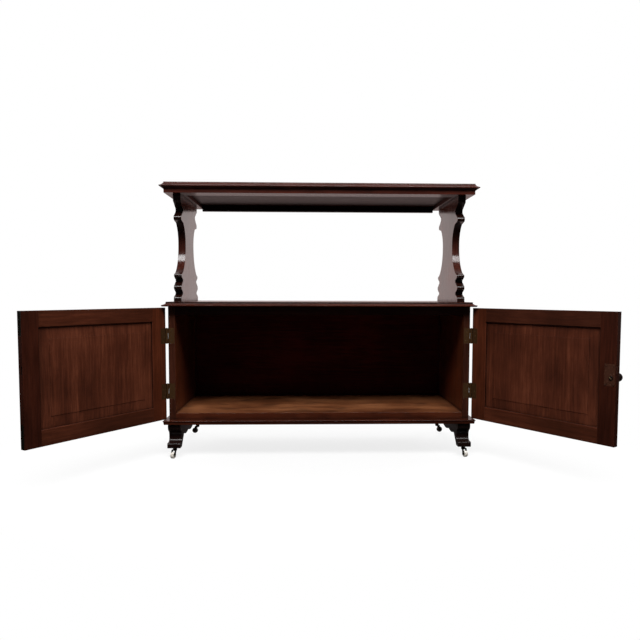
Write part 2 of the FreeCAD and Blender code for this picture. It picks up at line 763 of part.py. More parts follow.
def arris(u, v, u_sense, v_sense):
    """Triangle that takes off the sharp corner at (u, v); the senses point into the piece."""
    return [(u, v), (u + u_sense * d.frame_chamfer, v), (u, v + v_sense * d.frame_chamfer)]


def slope_bead(bead, block):
    """Chamfers the inner edges on the front of a bead frame."""
    doc.recompute()
    whole = block.Shape.BoundBox
    inset = d.bead_width.value / 2
    names = []
    for number, edge in enumerate(block.Shape.Edges, start=1):
        box = edge.BoundBox
        on_front = box.YMax < whole.YMin + inset
        if on_front and box.ZMin > whole.ZMin + inset and box.ZMax < whole.ZMax - inset:
            names.append(f"Edge{number}")
    slope = doc.addObject("PartDesign::Chamfer", bead.Name + "_slope")
    bead.addObject(slope)
    slope.Base = (block, names)
    slope.Size = d.bead_slope.value
    slope.setExpression("Size", d.bead_slope.text)


def build_door(name, side):
    """All the pieces fixed together in one door; gives its meeting stile for further cuts."""
    first = len(pieces)
    label = f"{name}_door"
    across = span(-side, inner_near, inner_far)
    hinge_stile = board(f"{label}_hinge_stile", span(-side, stile_near, inner_near), door_y, door_z)
    meeting_stile = board(f"{label}_meeting_stile", span(-side, inner_far, stile_far), door_y, door_z)
    for stile, edge, sense, near, far in (
        (hinge_stile, inner_near, -1, inner_near - d.panel_groove, inner_near + 1),
        (meeting_stile, inner_far, 1, inner_far - 1, inner_far + d.panel_groove),
    ):
        cut(stile, "Z", [rectangle(*span(-side, near, far), groove_front, groove_back)], *door_z)
        cut(stile, "Z", [arris(-side * edge, door_back, -side * sense, -1)], inner_low, inner_high)
    tongue_x = span(-side, inner_near - tongue, inner_far + tongue)
    for rail_name, low, high, edge, sense, groove_low, groove_high in (
        ("top_rail", inner_high, door_high, inner_high, 1, inner_high - 1, inner_high + d.panel_groove),
        ("bottom_rail", door_low, inner_low, inner_low, -1, inner_low - d.panel_groove, inner_low + 1),
    ):
        rail = board(f"{label}_{rail_name}", across, door_y, (low, high))
        pad(rail, "Z", [rectangle(*tongue_x, groove_front, groove_back)], low, high)
        cut(rail, "X", [rectangle(groove_front, groove_back, groove_low, groove_high)], *tongue_x)
        cut(rail, "X", [arris(door_back, edge, -1, sense)], *across)
    across_section = [(-side * u, v) for u, v in panel_section(inner_near, inner_far)]
    upright_section = [(v, u) for u, v in panel_section(inner_low, inner_high)]
    crossed(f"{label}_panel", ("Z", across_section, inner_low - tongue, inner_high + tongue),
            ("X", upright_section, *tongue_x))

    bead = piece(f"{label}_bead")
    bead_front = groove_front - d.bead_height
    width = d.bead_width
    outer = rectangle(*across, inner_low, inner_high)
    inner = rectangle(*span(-side, inner_near + width, inner_far - width),
                      inner_low + width, inner_high - width)
    block = pad(bead, "Y", [outer, inner], bead_front, groove_front)
    slope_bead(bead, block)

    leaves = piece(f"{label}_hinge_leaves")
    leaf_far = stile_near + d.leaf_width
    outlines = []
    gains = []
    for low, high in hinge_ends:
        lower = low + knuckle_share + half_gap
        upper = high - knuckle_share - half_gap
        outline = [(leaf_far, low), (stile_near, low), (stile_near, lower), (0, lower),
                   (0, upper), (stile_near, upper), (stile_near, high), (leaf_far, high)]
        outlines.append([(-side * u, v) for u, v in outline])
        gains.append(rectangle(*span(-side, stile_near - 1, leaf_far + d.fit), low - d.fit, high + d.fit))
    pad(leaves, "Y", outlines, *inward(door_back, -1, d.leaf_thickness))
    for low, high in hinge_ends:
        pad(leaves, "Z", [(0, 0, d.knuckle_radius)], low + knuckle_share + half_gap,
            high - knuckle_share - half_gap)
    screw_x = -side * (stile_near + leaf_middle)
    bore_leaves(leaves, 0, 0, screw_x, door_back, -1)
    drive_screws(piece(f"{label}_hinge_screws"), [screw_x], door_back, -1)
    cut(hinge_stile, "Y", gains, *inward(door_back, -1, d.leaf_thickness + d.fit))
    cut(hinge_stile, "Y", [(screw_x, spot, d.screw_radius + d.run) for spot in screw_spots],
        *inward(door_back, -1, d.screw_length + 1))
    return first, meeting_stile


def hang_door(first, side):
    """Turns every piece made since the first one about the hinge axis."""
    for item in pieces[first:]:
        place(item, side * hinge_x, hinge_y, side, d.door_angle)


# Lock of the right door, measured on the closed door.
lock_far = stile_far - d.lock_inset
lock_near = lock_far - d.lock_width
lock_centre = (door_low + door_high) / 2 + d.lock_lift
lock_low = lock_centre - d.lock_height / 2
lock_high = lock_centre + d.lock_height / 2
knob_height = lock_centre - d.knob_drop
lock_middle = door_back - d.lock_depth / 2
bolt_far = stile_far - d.bolt_setback
bolt_near = bolt_far - d.bolt_length
bolt_high = lock_high - d.bolt_margin
bolt_low = bolt_high - d.bolt_height


def bolt_way(play):
    """Section of the way that the lock bolt slides in."""
    half_width = d.bolt_thickness / 2 + play
    return rectangle(lock_middle - half_width, lock_middle + half_width, bolt_low - play, bolt_high + play)


# Left door with its flush bolts.
left_first, left_stile = build_door("left", -1)
mortise = d.bolt_throw - d.door_meeting_gap + 1
cut(left_stile, "X", [bolt_way(d.socket_play)], stile_far - mortise, stile_far + 1)
plate_loops = []
plate_recesses = []
half_plate = d.flush_plate_width / 2
half_thumb = d.thumb_width / 2
for end, edge, sign, gap in (("upper", door_high, -1, d.door_top_gap),
                             ("lower", door_low, 1, d.door_bottom_gap)):
    def within(near, far):
        """Range of heights between two distances from the door's end."""
        return inward(edge + sign * near, sign, far - near)

    thumb_far = d.thumb_start + d.thumb_height
    travel = gap + d.flush_reach + d.flush_setback
    slot_z = within(d.thumb_start - travel - d.fit, thumb_far + d.fit)
    slot = rectangle(door_middle - half_thumb - d.run, door_middle + half_thumb + d.run, *slot_z)
    plate_z = within(size(0), d.flush_plate_length)
    plate_loops += [rectangle(door_middle - half_plate, door_middle + half_plate, *plate_z), slot]
    plate_recesses.append(rectangle(door_middle - half_plate - d.fit, door_middle + half_plate + d.fit,
                                    *within(size(-1), d.flush_plate_length + d.fit)))
    cut(left_stile, "Z", [(flush_along, door_middle, d.flush_radius + d.run)],
        *within(size(0), d.flush_setback + d.flush_length + 1))
    cut(left_stile, "X", [slot], flush_along, stile_far)
    bolt = piece(f"{end}_flush_bolt")
    pad(bolt, "Z", [(flush_along, door_middle, d.flush_radius)],
        *within(d.flush_setback, d.flush_setback + d.flush_length))
    thumb = rectangle(door_middle - half_thumb, door_middle + half_thumb,
                      *within(d.thumb_start, thumb_far))
    pad(bolt, "X", [thumb], flush_along, stile_far - d.flush_setback)
plate_back = stile_far - d.flush_plate_thickness
cut(left_stile, "X", plate_recesses, plate_back - d.fit, stile_far)
pad(piece("left_door_flush_plates"), "X", plate_loops, plate_back, stile_far)
hang_door(left_first, -1)

# Right door with its lock and knob.
right_first, right_stile = build_door("right", 1)
knob_x = d.knob_inset - stile_far
spindle_hole = (knob_x, knob_height, d.spindle_radius + d.run)
cut(right_stile, "Y", [rectangle(-lock_far - d.fit, d.fit - lock_near, lock_low - d.fit,
                                 lock_high + d.fit)],
    *inward(door_back, -1, d.lock_depth + d.fit))
cut(right_stile, "X", [bolt_way(d.run)], *span(-1, lock_far, stile_far + 1))
cut(right_stile, "Y", [spindle_hole], *door_y)
lock_case = board("right_door_lock_case", span(-1, lock_near, lock_far),
                  inward(door_back, -1, d.lock_depth), (lock_low, lock_high))
cut(lock_case, "X", [bolt_way(d.run)], *span(-1, bolt_near - d.fit, lock_far))
cut(lock_case, "Y", [spindle_hole], *inward(door_back, -1, d.lock_depth))
lock_bolt = piece("lock_bolt")
pad(lock_bolt, "X", [bolt_way(0)], *span(-1, bolt_near, bolt_far))
rose = piece("right_door_knob_rose")
pad(rose, "Y", [(knob_x, knob_height, d.rose_radius), spindle_hole],
    *inward(door_front, -1, d.rose_thickness))
collar = door_front - d.rose_thickness - d.knob_gap
nut_seat = door_back + d.knob_gap
knob = piece("knob")
turn(knob, "Z", [
    (0, nut_seat + d.nut_thickness),
    (d.nut_radius, nut_seat + d.nut_thickness),
    (d.nut_radius, nut_seat),
    (d.spindle_radius, nut_seat),
    (d.spindle_radius, collar),
    (d.knob_neck, collar),
    (d.knob_neck, door_front - d.knob_length * 0.3),
    (d.knob_radius, door_front - d.knob_length * 0.63, 0, door_front - d.knob_length),
], "V_Axis", knob_height, (knob_x, 0))
hang_door(right_first, 1)

doc.recompute()
for item in doc.Objects:
    if {"Invalid", "Error"} & set(item.State):
        raise RuntimeError(f"{item.Name} did not build")
for feature in cuts:
    if feature.Shape.Volume > feature.BaseFeature.Shape.Volume - 0.1:
        raise RuntimeError(f"{feature.Name} cuts nothing")
for item in pieces:
    if item.Shape.isNull() or not item.Shape.isValid() or not item.Shape.Solids:
        raise RuntimeError(f"{item.Label} has no sound solid")
os.makedirs("parts", exist_ok=True)
for item in pieces:
    item.Shape.exportStep(f"parts/{item.Label}.step")
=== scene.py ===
import json
import math

import bmesh
import bpy
from mathutils import Matrix, Vector


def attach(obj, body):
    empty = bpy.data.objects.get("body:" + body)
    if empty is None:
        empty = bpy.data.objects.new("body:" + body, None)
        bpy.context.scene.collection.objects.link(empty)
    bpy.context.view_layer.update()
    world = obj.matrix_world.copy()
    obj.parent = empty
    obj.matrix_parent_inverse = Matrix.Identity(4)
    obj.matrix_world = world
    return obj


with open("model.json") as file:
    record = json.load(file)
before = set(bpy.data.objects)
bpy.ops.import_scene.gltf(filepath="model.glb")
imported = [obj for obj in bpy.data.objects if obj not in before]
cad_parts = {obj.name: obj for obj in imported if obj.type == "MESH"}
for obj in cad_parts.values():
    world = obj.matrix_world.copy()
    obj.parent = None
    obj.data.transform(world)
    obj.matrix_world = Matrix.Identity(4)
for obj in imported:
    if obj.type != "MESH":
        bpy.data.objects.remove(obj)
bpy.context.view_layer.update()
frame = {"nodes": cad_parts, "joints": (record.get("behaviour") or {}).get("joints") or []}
nodes = frame["nodes"]
joints = {joint["name"]: joint for joint in frame["joints"]}

MM = 0.001
UP, DOWN = (0, 0, 1), (0, 0, -1)
RIGHT, LEFT = (1, 0, 0), (-1, 0, 0)
FORWARD = (0, -1, 0)
DOOR_SIDES = {"left_door": -1, "right_door": 1}
DOOR_TURN = math.radians(-joints["left_door_swing"]["range_deg"][0])


# Shaders

def tone(red, green, blue):
    """A colour written as it shows on a screen, 0 to 255, as a shader colour."""
    def linear(value):
        share = value / 255
        return share / 12.92 if share <= 0.04045 else ((share + 0.055) / 1.055) ** 2.4

    return (linear(red), linear(green), linear(blue), 1.0)


class Shader:
    """Short calls for the shader nodes of a material or a world."""

    def __init__(self, owner):
        owner.use_nodes = True
        self.owner = owner
        self.tree = owner.node_tree

    def feed(self, socket, value):
        if isinstance(value, bpy.types.NodeSocket):
            self.tree.links.new(value, socket)
        else:
            socket.default_value = value

    def add(self, kind, inputs, **settings):
        node = self.tree.nodes.new("ShaderNode" + kind)
        for key, value in settings.items():
            setattr(node, key, value)
        for key, value in inputs.items():
            self.feed(node.inputs[key], value)
        return node

    def finish(self, **inputs):
        """Sets the surface; underscores in the names stand for spaces."""
        surface = self.tree.nodes["Principled BSDF"]
        for key, value in inputs.items():
            self.feed(surface.inputs[key.replace("_", " ")], value)
        return self.owner

    def math(self, operation, *values, clamp=False):
        node = self.add("Math", dict(enumerate(values)), operation=operation, use_clamp=clamp)
        return node.outputs[0]

    def vector(self, operation, *values):
        node = self.add("VectorMath", dict(enumerate(values)), operation=operation)
        return node.outputs["Value" if operation in ("DOT_PRODUCT", "LENGTH") else "Vector"]

    def mix(self, share, first, second):
        node = self.add("Mix", {0: share, 6: first, 7: second}, data_type="RGBA")
        return node.outputs[2]

    def spread(self, value, low, high, to_low=0.0, to_high=1.0):
        """Stretches the range low to high of a value to a new range, and cuts it off there."""
        inputs = {"Value": value, "From Min": low, "From Max": high, "To Min": to_low, "To Max": to_high}
        return self.add("MapRange", inputs).outputs["Result"]

    def noise(self, place, frequency, detail=2.0, seed=0.0):
        stretched = self.vector("MULTIPLY_ADD", place, frequency, (seed, seed * 0.7, seed * 1.3))
        inputs = {"Vector": stretched, "Scale": 1.0, "Detail": detail}
        return self.add("TexNoise", inputs).outputs["Fac"]

    def ramp(self, value, stops):
        node = self.add("ValToRGB", {"Fac": value})
        elements = node.color_ramp.elements
        while len(elements) < len(stops):
            elements.new(1.0)
        for element, (position, colour) in zip(elements, stops):
            element.position = position
            element.color = colour
        return node.outputs["Color"]

    def bump(self, height, depth, normal=None):
        inputs = {"Height": height, "Strength": 1.0, "Distance": depth}
        if normal is not None:
            inputs["Normal"] = normal
        return self.add("Bump", inputs).outputs["Normal"]

    def coordinates(self):
        return self.add("TexCoord", {}).outputs

    def edges(self, radius):
        """The normal with its edges rounded, and how far it bends away from the flat faces."""
        rounded = self.add("Bevel", {"Radius": radius}, samples=4).outputs["Normal"]
        flat = self.add("NewGeometry", {}).outputs["Normal"]
        bend = self.math("SUBTRACT", 1.0, self.vector("DOT_PRODUCT", rounded, flat))
        return rounded, bend

    def crevices(self, distance):
        """How deep a spot lies in a corner: 0 in the open, 1 in the corner."""
        open_share = self.add("AmbientOcclusion", {"Distance": distance}, samples=4).outputs["AO"]
        return self.spread(open_share, 0.45, 0.95, 1.0, 0.0)


def new_shader(name):
    return Shader(bpy.data.materials.new(name))


# Noise frequencies of the wood's layers, per metre: along the grain, then twice across it
SWAY = (1.6, 5, 5)
FIGURE = (1.3, 22, 22)
STREAK = (2.4, 150, 150)
FLECK = (14, 190, 190)
FIBRE = (28, 1300, 1300)
PORE = (70, 2200, 2200)
STAIN = (4, 26, 26)
PATINA = (6, 6, 6)
RUB = (45, 45, 45)

TONE_STOPS = (0.05, 0.5, 0.95)
LIP_RED = tone(76, 33, 19)
# Painted shade for the dark line in a quirk
QUIRK_PAINTED_SHADE = tone(12, 5, 3)
# Painted shade on the supports, above and below their unshaded band
SUPPORT_PAINTED_SHADE = tone(16, 7, 5)
STAIN_BROWN = tone(24, 10, 7)
WORN_EDGE = tone(104, 54, 33)
PORE_BROWN = tone(20, 8, 5)
# Dirt together with painted shade, in corners and crevices
WOOD_GRIME_AND_SHADE = tone(12, 6, 4)
WEAR = 0.35
WOOD_EDGE = 1.6 * MM
WOOD_CREVICE = 14 * MM
GRAIN_DEPTH = 0.015 * MM
PATINA_DEPTH = 0.12 * MM


def grain_space(shader, split, along, seed):
    """Coordinates with the grain, which sways a little, along the first axis."""
    order = along + "XYZ".replace(along, "")
    straight = shader.add("CombineXYZ", {index: split[axis] for index, axis in enumerate(order)}).outputs[0]
    sway = shader.noise(straight, SWAY, 2, seed + 11)
    return shader.vector("ADD", straight, shader.vector("MULTIPLY", (0, 0.05, 0.05), sway))


def painted_shade_above_and_below(shader, height, normal, kept_clear):
    """Painted shade below and above a band of heights, on all faces but those to the sides."""
    low, high = kept_clear
    below = shader.spread(height, low - 15 * MM, low + 15 * MM, 0.75, 0.0)
    above = shader.spread(height, high - 25 * MM, high + 25 * MM, 0.0, 0.75)
    sideways = shader.math("ABSOLUTE", shader.vector("DOT_PRODUCT", normal, RIGHT))
    edgewise = shader.spread(sideways, 0.5, 0.7, 1.0, 0.0)
    return shader.math("MULTIPLY", shader.math("ADD", below, above), edgewise)


def wood(name, tones, along, turn=0.0, roughness=0.2, gloss=0.5, seed=0.0, stain=0.0, stain_grain=STAIN,
         inner=None, inner_tones=None, inner_from=0.5, inner_roughness=0.42, lip=None, quirk=None,
         kept_clear=None):
    """Mahogany with its grain along one axis of the piece, which is turned about Z by turn first.

    tones are the dark, middle and light colours of the figure, and stain is the strength of dark
    blotches in it. The faces whose normal points along inner are left unpolished, in inner_tones;
    inner_from is how nearly along it they have to point. lip is the depth of a redder strip along the
    front, quirk the height of a painted dark line that stands for the shade in a quirk, and the last
    argument the band of heights kept free of the painted shade that darkens the wood above and below it.
    """
    shader = new_shader(name)
    found = shader.coordinates()
    place = found["Object"]
    if turn:
        place = shader.add("Mapping", {"Vector": place, "Rotation": (0, 0, turn)}).outputs["Vector"]
    split = shader.add("SeparateXYZ", {"Vector": place}).outputs
    grain = grain_space(shader, split, along, seed)

    figure = shader.noise(grain, FIGURE, 3, seed)
    streak = shader.noise(grain, STREAK, 3, seed + 3)
    fleck = shader.noise(grain, FLECK, 2, seed + 17)
    fibre = shader.noise(grain, FIBRE, 2, seed + 5)
    pore = shader.spread(shader.noise(grain, PORE, 1, seed + 7), 0.60, 0.72)
    patina = shader.noise(place, PATINA, 4, seed + 9)

    shade = 0.0
    for layer, share in ((figure, 0.35), (streak, 0.33), (fleck, 0.36), (fibre, 0.18), (patina, 0.58)):
        shade = shader.math("MULTIPLY_ADD", layer, share, shade)
    shade = shader.spread(shade, 0.70, 1.10)
    colour = shader.ramp(shade, list(zip(TONE_STOPS, tones)))
    rough = shader.math("MULTIPLY_ADD", streak, 0.06, roughness - 0.03)
    rough = shader.math("MULTIPLY_ADD", patina, 0.10, shader.math("SUBTRACT", rough, 0.05))

    if inner is not None:
        facing = shader.vector("DOT_PRODUCT", found["Normal"], inner)
        share = shader.spread(facing, inner_from, inner_from + 0.2)
        raw = shader.ramp(shade, list(zip(TONE_STOPS, inner_tones)))
        colour = shader.mix(share, colour, raw)
        rough = shader.math("MULTIPLY_ADD", share, inner_roughness - roughness, rough)
        rough = shader.math("MULTIPLY_ADD", shader.math("SUBTRACT", fleck, 0.5), 0.3, rough)
    if lip is not None:
        strip = shader.spread(split["Y"], 0.2 * lip, lip, 0.4, 0.0)
        colour = shader.mix(strip, colour, LIP_RED)
    # Painted shade: a dark line at the given height stands for the shade in a quirk
    if quirk is not None:
        away = shader.math("ABSOLUTE", shader.math("SUBTRACT", split["Z"], quirk))
        colour = shader.mix(shader.spread(away, 1.5 * MM, 2.6 * MM, 0.95, 0.0), colour, QUIRK_PAINTED_SHADE)
    # Painted shade darkens the wood above and below the given band of heights
    if kept_clear is not None:
        painted_shade = painted_shade_above_and_below(shader, split["Z"], found["Normal"], kept_clear)
        colour = shader.mix(painted_shade, colour, SUPPORT_PAINTED_SHADE)
    if stain:
        blot = shader.noise(grain, stain_grain, 3, seed + 15)
        colour = shader.mix(shader.spread(blot, 0.52, 0.70, 0, stain), colour, STAIN_BROWN)

    rounded, bend = shader.edges(WOOD_EDGE)
    rub = shader.noise(place, RUB, 3, seed + 13)
    worn = shader.math("MULTIPLY", shader.spread(bend, 0.02, 0.2), shader.spread(rub, 0.42, 0.66, 0, WEAR))
    colour = shader.mix(worn, colour, WORN_EDGE)
    colour = shader.mix(shader.math("MULTIPLY", pore, 0.45), colour, PORE_BROWN)
    # Dirt and painted shade, darker the deeper a spot lies in a corner
    grime_and_shade = shader.math("MULTIPLY", shader.crevices(WOOD_CREVICE), 0.6)
    colour = shader.mix(grime_and_shade, colour, WOOD_GRIME_AND_SHADE)
    rough = shader.math("MULTIPLY_ADD", grime_and_shade, 0.3, rough)
    height = shader.math("MULTIPLY_ADD", pore, -0.8, shader.math("MULTIPLY", fibre, 0.5))
    height = shader.math("ADD", streak, height)
    normal = shader.bump(height, GRAIN_DEPTH, rounded)
    normal = shader.bump(patina, PATINA_DEPTH, normal)
    return shader.finish(Base_Color=colour, Roughness=rough, Specular_IOR_Level=gloss, IOR=1.5, Normal=normal)


def brass(name, bright, tarnish, amount, roughness):
    """Old brass: bright metal under a brown tarnish, with fine scratches."""
    shader = new_shader(name)
    place = shader.coordinates()["Object"]
    blotch = shader.noise(place, (180, 180, 180), 4)
    speck = shader.noise(place, (1500, 1500, 1500), 2)
    scratch = shader.noise(place, (300, 300, 5200), 1)
    rounded, bend = shader.edges(0.5 * MM)
    kept_clear = shader.math("MULTIPLY", shader.spread(bend, 0.03, 0.3), 0.7)
    cover = shader.spread(blotch, 0.58 - amount * 0.4, 0.72 - amount * 0.4)
    cover = shader.math("SUBTRACT", cover, kept_clear, clamp=True)
    colour = shader.mix(cover, bright, tarnish)
    colour = shader.mix(shader.spread(speck, 0.6, 0.7, 0, 0.6), colour, tone(30, 22, 14))
    # Dirt and painted shade in the corners
    grime_and_shade = shader.math("MULTIPLY", shader.crevices(4 * MM), 0.8)
    colour = shader.mix(grime_and_shade, colour, tone(18, 13, 9))
    rough = shader.math("MULTIPLY_ADD", cover, 0.22, roughness)
    rough = shader.math("MULTIPLY_ADD", scratch, 0.12, rough)
    normal = shader.bump(shader.math("ADD", speck, scratch), 0.04 * MM, rounded)
    return shader.finish(Base_Color=colour, Metallic=1.0, Roughness=rough, Normal=normal)


def ebony(name):
    """Black turned wood, polished, with its edges rubbed brown."""
    shader = new_shader(name)
    place = shader.coordinates()["Object"]
    fibre = shader.noise(place, (260, 260, 900), 3)
    smear = shader.noise(place, (60, 60, 60), 3)
    rounded, bend = shader.edges(0.6 * MM)
    colour = shader.ramp(fibre, [(0.3, tone(13, 10, 9)), (0.7, tone(34, 25, 21))])
    colour = shader.mix(shader.spread(bend, 0.05, 0.3, 0, 0.4), colour, tone(66, 44, 33))
    rough = shader.spread(smear, 0.3, 0.7, 0.12, 0.3)
    normal = shader.bump(fibre, 0.03 * MM, rounded)
    return shader.finish(Base_Color=colour, Roughness=rough, IOR=1.5, Normal=normal)


def ceramic(name, dark, pale):
    """Glazed ware with fine crazing, and dirt with painted shade in its corners."""
    shader = new_shader(name)
    place = shader.coordinates()["Object"]
    crack = shader.add("TexVoronoi", {"Vector": place, "Scale": 420.0}, feature="DISTANCE_TO_EDGE")
    craze = shader.spread(crack.outputs["Distance"], 0.0, 0.04, 0.35, 0.0)
    smear = shader.noise(place, (130, 130, 130), 4)
    colour = shader.ramp(smear, [(0.35, dark), (0.6, pale)])
    colour = shader.mix(craze, colour, tone(150, 128, 100))
    # Dirt and painted shade in the corners
    grime_and_shade = shader.math("MULTIPLY", shader.crevices(3 * MM), 0.7)
    colour = shader.mix(grime_and_shade, colour, tone(70, 56, 42))
    rough = shader.spread(smear, 0.3, 0.7, 0.1, 0.35)
    normal = shader.bump(craze, 0.02 * MM, shader.edges(0.4 * MM)[0])
    return shader.finish(Base_Color=colour, Roughness=rough, IOR=1.5, Normal=normal)


def soot(name):
    """The dirt in a screw slot, and the painted shade in the crack beside a hinge knuckle."""
    shader = new_shader(name)
    place = shader.coordinates()["Object"]
    speck = shader.noise(place, (2500, 2500, 2500), 2)
    colour = shader.ramp(speck, [(0.3, tone(10, 8, 6)), (0.7, tone(32, 25, 18))])
    return shader.finish(Base_Color=colour, Roughness=0.7, Normal=shader.bump(speck, 0.03 * MM))


# Materials of the pieces

SHELF = (tone(48, 19, 13), tone(66, 27, 19), tone(86, 38, 27))
TOP = (tone(46, 18, 11), tone(63, 26, 17), tone(82, 37, 25))
CASE = (tone(32, 13, 8), tone(44, 18, 11), tone(58, 25, 16))
SIDE = (tone(38, 18, 12), tone(52, 25, 16), tone(67, 34, 23))
BASE = (tone(40, 16, 8), tone(54, 22, 12), tone(70, 31, 18))
SUPPORT = (tone(38, 16, 11), tone(52, 22, 16), tone(68, 31, 23))
SUPPORT_INNER = (tone(57, 26, 18), tone(77, 36, 27), tone(99, 49, 38))
FOOT = (tone(13, 6, 5), tone(19, 8, 6), tone(27, 12, 9))
DOOR = (tone(52, 24, 13), tone(67, 31, 18), tone(84, 41, 25))
DARK_RAIL = (tone(42, 19, 11), tone(55, 25, 15), tone(70, 34, 21))
BEAD = (tone(90, 47, 34), tone(114, 63, 47), tone(138, 82, 63))
HINGE_STILE = (tone(57, 25, 13), tone(72, 32, 17), tone(89, 42, 24))
MEETING_STILE = (tone(37, 14, 7), tone(49, 19, 10), tone(62, 26, 14))
PANEL = (tone(57, 26, 16), tone(77, 37, 23), tone(100, 52, 34))
INSIDE = (tone(64, 29, 15), tone(86, 40, 21), tone(110, 54, 30))
FLOOR = (tone(66, 33, 18), tone(106, 62, 36), tone(146, 94, 60))
FLOOR_EDGE = (tone(46, 19, 10), tone(62, 27, 14), tone(80, 38, 21))
BACK = (tone(50, 10, 7), tone(66, 14, 10), tone(84, 21, 15))
RAIL = (tone(30, 9, 6), tone(42, 12, 8), tone(54, 18, 12))
UNDER = (tone(36, 18, 14), tone(58, 30, 24), tone(86, 49, 40))

TOP_QUIRK = 538.8 * MM
FLOOR_LIP = 60 * MM
FLOOR_STAIN = (9, 15, 15)
# The band of heights on the supports that the painted shade leaves free
SUPPORT_UNSHADED = (645 * MM, 770 * MM)

looks = {
    "shelf_board": wood("shelf_wood", SHELF, "X", gloss=0.42, seed=1, stain=0.5, inner=DOWN,
                        inner_tones=UNDER),
    "shelf_front_rail": wood("shelf_front_rail_wood", SHELF, "X", seed=3),
    "shelf_rear_rail": wood("shelf_rear_rail_wood", FOOT, "X", gloss=0.1, seed=4),
    "cupboard_top": wood("top_wood", TOP, "X", gloss=0.2, seed=2, inner=DOWN, inner_tones=RAIL,
                         quirk=TOP_QUIRK),
    "cupboard_floor": wood("floor_wood", FLOOR_EDGE, "X", gloss=0.2, seed=9, stain=0.6,
                           stain_grain=FLOOR_STAIN, lip=FLOOR_LIP, inner=UP, inner_tones=FLOOR),
    "top_front_rail": wood("top_front_rail_wood", RAIL, "X", gloss=0.2, seed=10),
    "back_panel": wood("back_wood", RAIL, "X", roughness=0.5, gloss=0.05, seed=11, inner=FORWARD,
                       inner_tones=BACK, inner_roughness=0.5),
    "base_front_moulding": wood("base_front_wood", BASE, "X", gloss=0.15, seed=12),
    "base_rear_rail": wood("base_rear_wood", RAIL, "X", roughness=0.5, gloss=0.2, seed=13),
}

PAIRS = (
    ("shelf_{}_rail", SHELF), ("base_{}_moulding", BASE), ("front_{}_foot", FOOT), ("rear_{}_foot", FOOT),
)
for offset, (side, inward) in enumerate((("left", RIGHT), ("right", LEFT))):
    for number, (pattern, tones) in enumerate(PAIRS):
        name = pattern.format(side)
        looks[name] = wood(name + "_wood", tones, "Y", gloss=0.3, seed=14 + number * 2 + offset, inner=inward,
                           inner_tones=tones, inner_roughness=0.6)
    looks[f"{side}_support"] = wood(f"{side}_support_wood", SUPPORT, "Z", roughness=0.16, gloss=0.4,
                                    seed=24 + offset, kept_clear=SUPPORT_UNSHADED, inner=inward,
                                    inner_tones=SUPPORT_INNER, inner_roughness=0.2)
    looks[f"{side}_side"] = wood(f"{side}_side_wood", SIDE, "Z", gloss=0.2, seed=7 + offset, inner=inward,
                                 inner_tones=INSIDE)

# Each door part's name, inner tones and grain, and how nearly inwards a face points to take those tones:
# less nearly on the panel, whose sloping border takes them too
DOOR_PARTS = (
    ("hinge_stile", HINGE_STILE, "Z", 0.5), ("meeting_stile", MEETING_STILE, "Z", 0.5),
    ("top_rail", DOOR, "X", 0.5), ("bottom_rail", DOOR, "X", 0.5),
    ("panel", PANEL, "Z", 0.1), ("bead", BEAD, "Z", 0.5),
)
for number, (door, side) in enumerate(DOOR_SIDES.items()):
    turn = -side * DOOR_TURN
    inner = (side * -math.sin(DOOR_TURN), math.cos(DOOR_TURN), 0)
    for offset, (part, tones, along, inner_from) in enumerate(DOOR_PARTS):
        name = f"{door}_{part}"
        if name == "right_door_top_rail":
            tones = DARK_RAIL
        looks[name] = wood(name + "_wood", CASE, along, turn, gloss=0.12, seed=40 - number * 10 + offset,
                           inner=inner, inner_tones=tones, inner_from=inner_from)

hinge_brass = brass("hinge_brass", tone(128, 98, 62), tone(84, 59, 37), 0.8, 0.55)
plate_brass = brass("plate_brass", tone(84, 82, 62), tone(30, 30, 22), 0.85, 0.4)
caster_brass = brass("caster_brass", tone(112, 88, 50), tone(34, 26, 16), 0.88, 0.36)
lock_brass = brass("lock_brass", tone(150, 110, 88), tone(99, 63, 49), 0.8, 0.45)
spindle_brass = brass("spindle_brass", tone(190, 165, 128), tone(140, 112, 84), 0.4, 0.35)
slot_black = soot("slot_black")
looks["knob"] = ebony("ebony")
# The rear rollers are the same white ware as the front ones; their dark glaze is painted shade from under the
# case
for end, glaze in (("front", ceramic("white_glaze", tone(214, 206, 192), tone(240, 236, 228))),
                   ("rear", ceramic("painted_shade_glaze", tone(36, 28, 22), tone(58, 46, 37)))):
    for side in ("left", "right"):
        looks[f"{end}_{side}_roller"] = glaze

# The first word that a fitting's name holds gives its brass
HARDWARE = (
    ("caster", caster_brass), ("flush", plate_brass), ("lock", lock_brass), ("rose", lock_brass),
    ("hinge_", hinge_brass), ("screws", hinge_brass), ("pins", hinge_brass),
)
for name, item in nodes.items():
    if name not in looks:
        looks[name] = next(look for word, look in HARDWARE if word in name)
    item.data.materials.clear()
    item.data.materials.append(looks[name])


# Small fittings

# Heights of the hinges from the floor, the same on the case and on the doors
HINGE_MIDDLES = (232.05 * MM, 424.85 * MM)
SCREW_PITCH = 17 * MM

# On the case, from the middle of its width
CASE_SCREW = 514 * MM
CASE_EDGE = 524.5 * MM

# On the doors, from the hinge axis: along the door, out of its inner side, and up from the floor
DOOR_SCREW = 15.6 * MM
SCREW_DEPTH = 0.5 * MM
LOCK_ALONG = 509.6 * MM
LOCK_HEIGHT = 340.45 * MM
LOCK_SCREWS = (11.5 * MM, 27 * MM)
NUT_ALONG = 513.6 * MM
NUT_HEIGHT = 331.95 * MM
NUT_PROUD = 3 * MM

